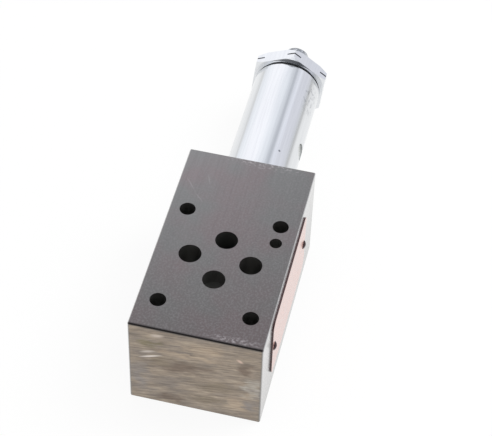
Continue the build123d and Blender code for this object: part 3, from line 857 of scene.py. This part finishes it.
# %% White ground
own_light_share = 0.91
right_end = (-0.25, -0.08)
back_end = (0.16, 0.28)
white_ground, white_shader, floor_place = new_material("white_ground", Roughness=1.0, Base_Color="#f6f6f6")
floor_x, floor_y, _ = add(white_ground, "SeparateXYZ", {0: floor_place}).outputs
table_right = add(white_ground, "MapRange", {
    "Value": floor_y, "From Min": right_end[0], "From Max": right_end[1], "To Min": 0.72,
})
table_back = add(white_ground, "MapRange", {
    "Value": floor_x, "From Min": back_end[0], "From Max": back_end[1], "To Min": 1.0, "To Max": 0.82,
})
table = add(white_ground, "Math", {0: table_right, 1: table_back}, operation="MULTIPLY")
rays = add(white_ground, "LightPath").outputs
glow_strength = add(white_ground, "Math", {0: rays["Is Camera Ray"], 1: table}, operation="MAXIMUM")
glow = add(white_ground, "Emission", {"Color": "#ffffff", "Strength": glow_strength})
mirrored = add(white_ground, "Math", {
    0: rays["Is Glossy Ray"], 1: rays["Is Transmission Ray"],
}, operation="MAXIMUM")
seen = add(white_ground, "Math", {0: rays["Is Camera Ray"], 1: mirrored}, operation="MAXIMUM")
glow_share = add(white_ground, "Math", {0: seen, 1: own_light_share}, operation="MULTIPLY")
ground_mix = add(white_ground, "MixShader", {0: glow_share, 1: white_shader, 2: glow})
from_below = add(white_ground, "NewGeometry").outputs["Backfacing"]
one_sided = add(white_ground, "MixShader", {
    0: from_below, 1: ground_mix, 2: add(white_ground, "BsdfTransparent"),
})
connect(white_ground, white_ground.node_tree.nodes["Material Output"], {"Surface": one_sided})
white_ground.cycles.emission_sampling = "NONE"
floor_data.materials.append(white_ground)
print("white ground:", len(white_ground.node_tree.nodes), "nodes")

# %% [markdown]
# ## The light
#
# The streaks on the housing tell how the studio was lit. A tube along X mirrors everything that
# stands round it, so each streak belongs to one direction: a wide soft box overhead, a narrow
# dark gap, a pale wall on the right, and a slightly greyer far end of the table on the left.
# Lamps and cards could be set up one by one. A world whose brightness is a ramp round the X
# axis gives the same streaks with far less. Only mirrored rays see that ramp.

# %% The studio in the mirrors
world = bpy.data.worlds.new("studio")
bpy.context.scene.world = world
world.use_nodes = True
sky = add(world, "SeparateXYZ", {0: add(world, "TexCoord").outputs["Generated"]})
sky_x, sky_y, sky_z = sky.outputs
round_x = add(world, "Math", {0: sky_z, 1: sky_y}, operation="ARCTAN2")
studio_turn = add(world, "MapRange", {"Value": round_x, "From Min": -math.pi, "From Max": math.pi})


def at(degrees):
    """Where an angle round the X axis, from +Y up towards +Z, lies on the ramp."""
    return (degrees + 180) / 360


studio = add(world, "ValToRGB", {"Fac": studio_turn}, stops=[
    (at(-30), "#e6e9e9"), (at(-14), "#e3e6e8"), (at(2), "#e6e8ec"), (at(18), "#f0f2f6"),
    (at(35), "#f9f9fd"), (at(66), "#fbfbff"), (at(83), "#eff1f6"), (at(100), "#dfe2e8"),
    (at(108), "#d0d3d9"), (at(114), "#b8bbc2"), (at(118), "#bcbfc6"), (at(124), "#dcdee5"),
    (at(132), "#e6e8f0"), (at(140), "#d7d8df"), (at(164), "#d7d8df"), (at(173), "#d0d1d6"),
    (at(180), "#c4c6c9"),
])
studio_depth = add(world, "ValToRGB", {
    "Fac": add(world, "MapRange", {"Value": sky_x, "From Min": -1.0, "From Max": 1.0}),
}, stops=[(0.5, "#747474"), (0.74, "#ffffff"), (0.875, "#ffffff"), (0.96, "#a0a0a0")])
front_horizon = add(world, "MapRange", {"Value": sky_z, "From Min": 0.4, "From Max": 0.2})
studio_reach = add(world, "Math", {0: studio_depth, 1: front_horizon}, operation="MAXIMUM")
mirror_level = 1.25
studio_strength = add(world, "Math", {0: studio_reach, 1: mirror_level}, operation="MULTIPLY")
studio_light = add(world, "Background", {"Color": studio, "Strength": studio_strength})
print("studio ramp:", len(studio.color_ramp.elements), "stops")

# %% [markdown]
# Matt surfaces are lit by an even white and one soft box, and the camera sees plain white. A
# world of white alone would do for a pure white product picture, but then the block's shadow
# would have no side, so the soft box gives it one.

# %% The even light and the soft box
sky_rays = add(world, "LightPath").outputs
clear_rays = add(world, "Math", {
    0: sky_rays["Is Camera Ray"], 1: sky_rays["Is Transmission Ray"],
}, operation="MAXIMUM")
white_level = add(world, "MapRange", {"Value": clear_rays, "To Min": 0.8, "To Max": 1.0})
white = add(world, "Background", {"Color": "#ffffff", "Strength": white_level})
sky_mix = add(world, "MixShader", {0: sky_rays["Is Glossy Ray"], 1: white, 2: studio_light})
connect(world, world.node_tree.nodes["World Output"], {"Surface": sky_mix})
world.cycles.sampling_method = "NONE"

lamp_place = Vector((0.35, -0.55, 0.9))
lamp_size = 0.6
lamp_power = 6.0
lamp_data = bpy.data.lights.new("soft_box", "AREA")
lamp_data.shape = "SQUARE"
lamp_data.size = lamp_size
lamp_data.energy = lamp_power
lamp = bpy.data.objects.new("soft_box", lamp_data)
lamp.location = lamp_place
lamp.rotation_euler = (block_middle - lamp_place).to_track_quat("-Z", "Y").to_euler()
lamp.visible_glossy = False
bpy.context.scene.collection.objects.link(lamp)
bpy.context.scene.view_settings.view_transform = "Standard"
print("lamp:", lamp_power, "W,", round((lamp_place - block_middle).length, 2), "m away")
